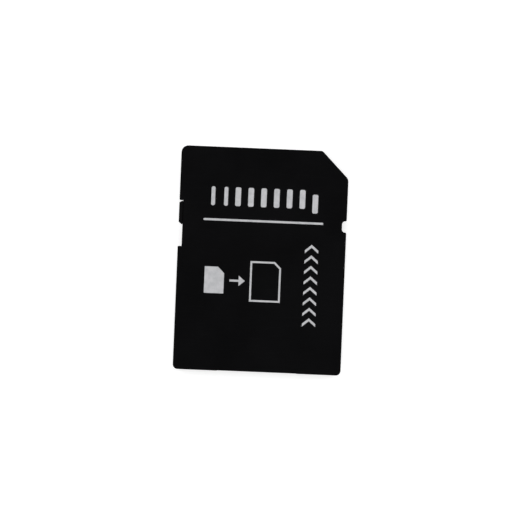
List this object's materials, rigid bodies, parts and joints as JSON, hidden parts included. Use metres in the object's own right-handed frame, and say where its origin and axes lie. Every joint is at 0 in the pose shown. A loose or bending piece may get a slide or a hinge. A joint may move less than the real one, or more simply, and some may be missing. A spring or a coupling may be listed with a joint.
{
  "type": "memory card adapter",
  "caption": "Flat black card shell with a cut corner, contact windows at one end, a slot for a smaller card at the other, and a write-protect slider.",
  "frame": {"origin": "middle of the 24 by 32 mm footprint, on the back face", "axes": "+X to the right seen from the front, +Y towards the contact end, +Z out of the printed front face"},
  "size_m": [0.024, 0.032, 0.0021],
  "materials": {
    "cover_plastic": "fine matt spark texture",
    "slider_plastic": "smooth matt",
    "carrier_plastic": "smooth, moulded",
    "contact_metal": "gold plate over copper alloy",
    "spring_steel": "bright rolled stainless strip",
    "print_ink": "flat light grey printing ink"
  },
  "bodies": {
    "card_shell": {"front_cover": "cover_plastic", "back_cover": "cover_plastic", "contact_carrier": "carrier_plastic", "card_spring": "spring_steel", "front_print": "print_ink", "contact_data2": "contact_metal", "contact_data3": "contact_metal", "contact_command": "contact_metal", "contact_supply": "contact_metal", "contact_clock": "contact_metal", "contact_ground": "contact_metal", "contact_data0": "contact_metal", "contact_data1": "contact_metal"},
    "write_protect_slider": {"lock_slider": "slider_plastic"}
  },
  "joints": [
    {"name": "lock_slide", "type": "slide", "parent": "card_shell", "child": "write_protect_slider", "axis": [0, -1, 0], "range_m": [0, 0.003]}
  ]
}
